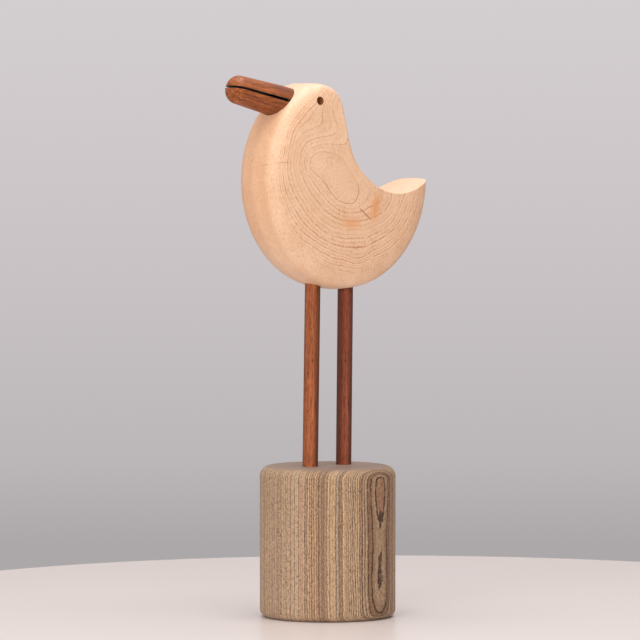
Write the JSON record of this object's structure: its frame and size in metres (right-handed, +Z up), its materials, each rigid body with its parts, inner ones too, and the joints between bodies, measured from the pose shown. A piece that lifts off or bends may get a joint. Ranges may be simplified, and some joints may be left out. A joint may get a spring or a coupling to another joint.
{
  "type": "wooden bird ornament",
  "caption": "Free-standing wooden bird with a round beak, on two dowel legs set in a round block of laminated wood.",
  "frame": {"origin": "centre of the base block's flat underside", "axes": "+Z up from the underside to the beak, -X the way the bird looks, XZ the bird's middle plane, and -Y its left side"},
  "size_m": [0.1279, 0.07, 0.2787],
  "materials": {
    "laminated_wood": "grey and tan laminated veneer, sanded, satin lacquer",
    "leg_walnut": "dark reddish walnut dowel, satin oil",
    "maple": "pale maple, fine brown growth-ring contours, satin lacquer",
    "beak_walnut": "reddish walnut with fine lengthwise grain, satin oil"
  },
  "bodies": {
    "root": {"base_block": "laminated_wood", "front_leg": "leg_walnut", "rear_leg": "leg_walnut", "bird_body": "maple", "beak": "beak_walnut"}
  },
  "joints": []
}
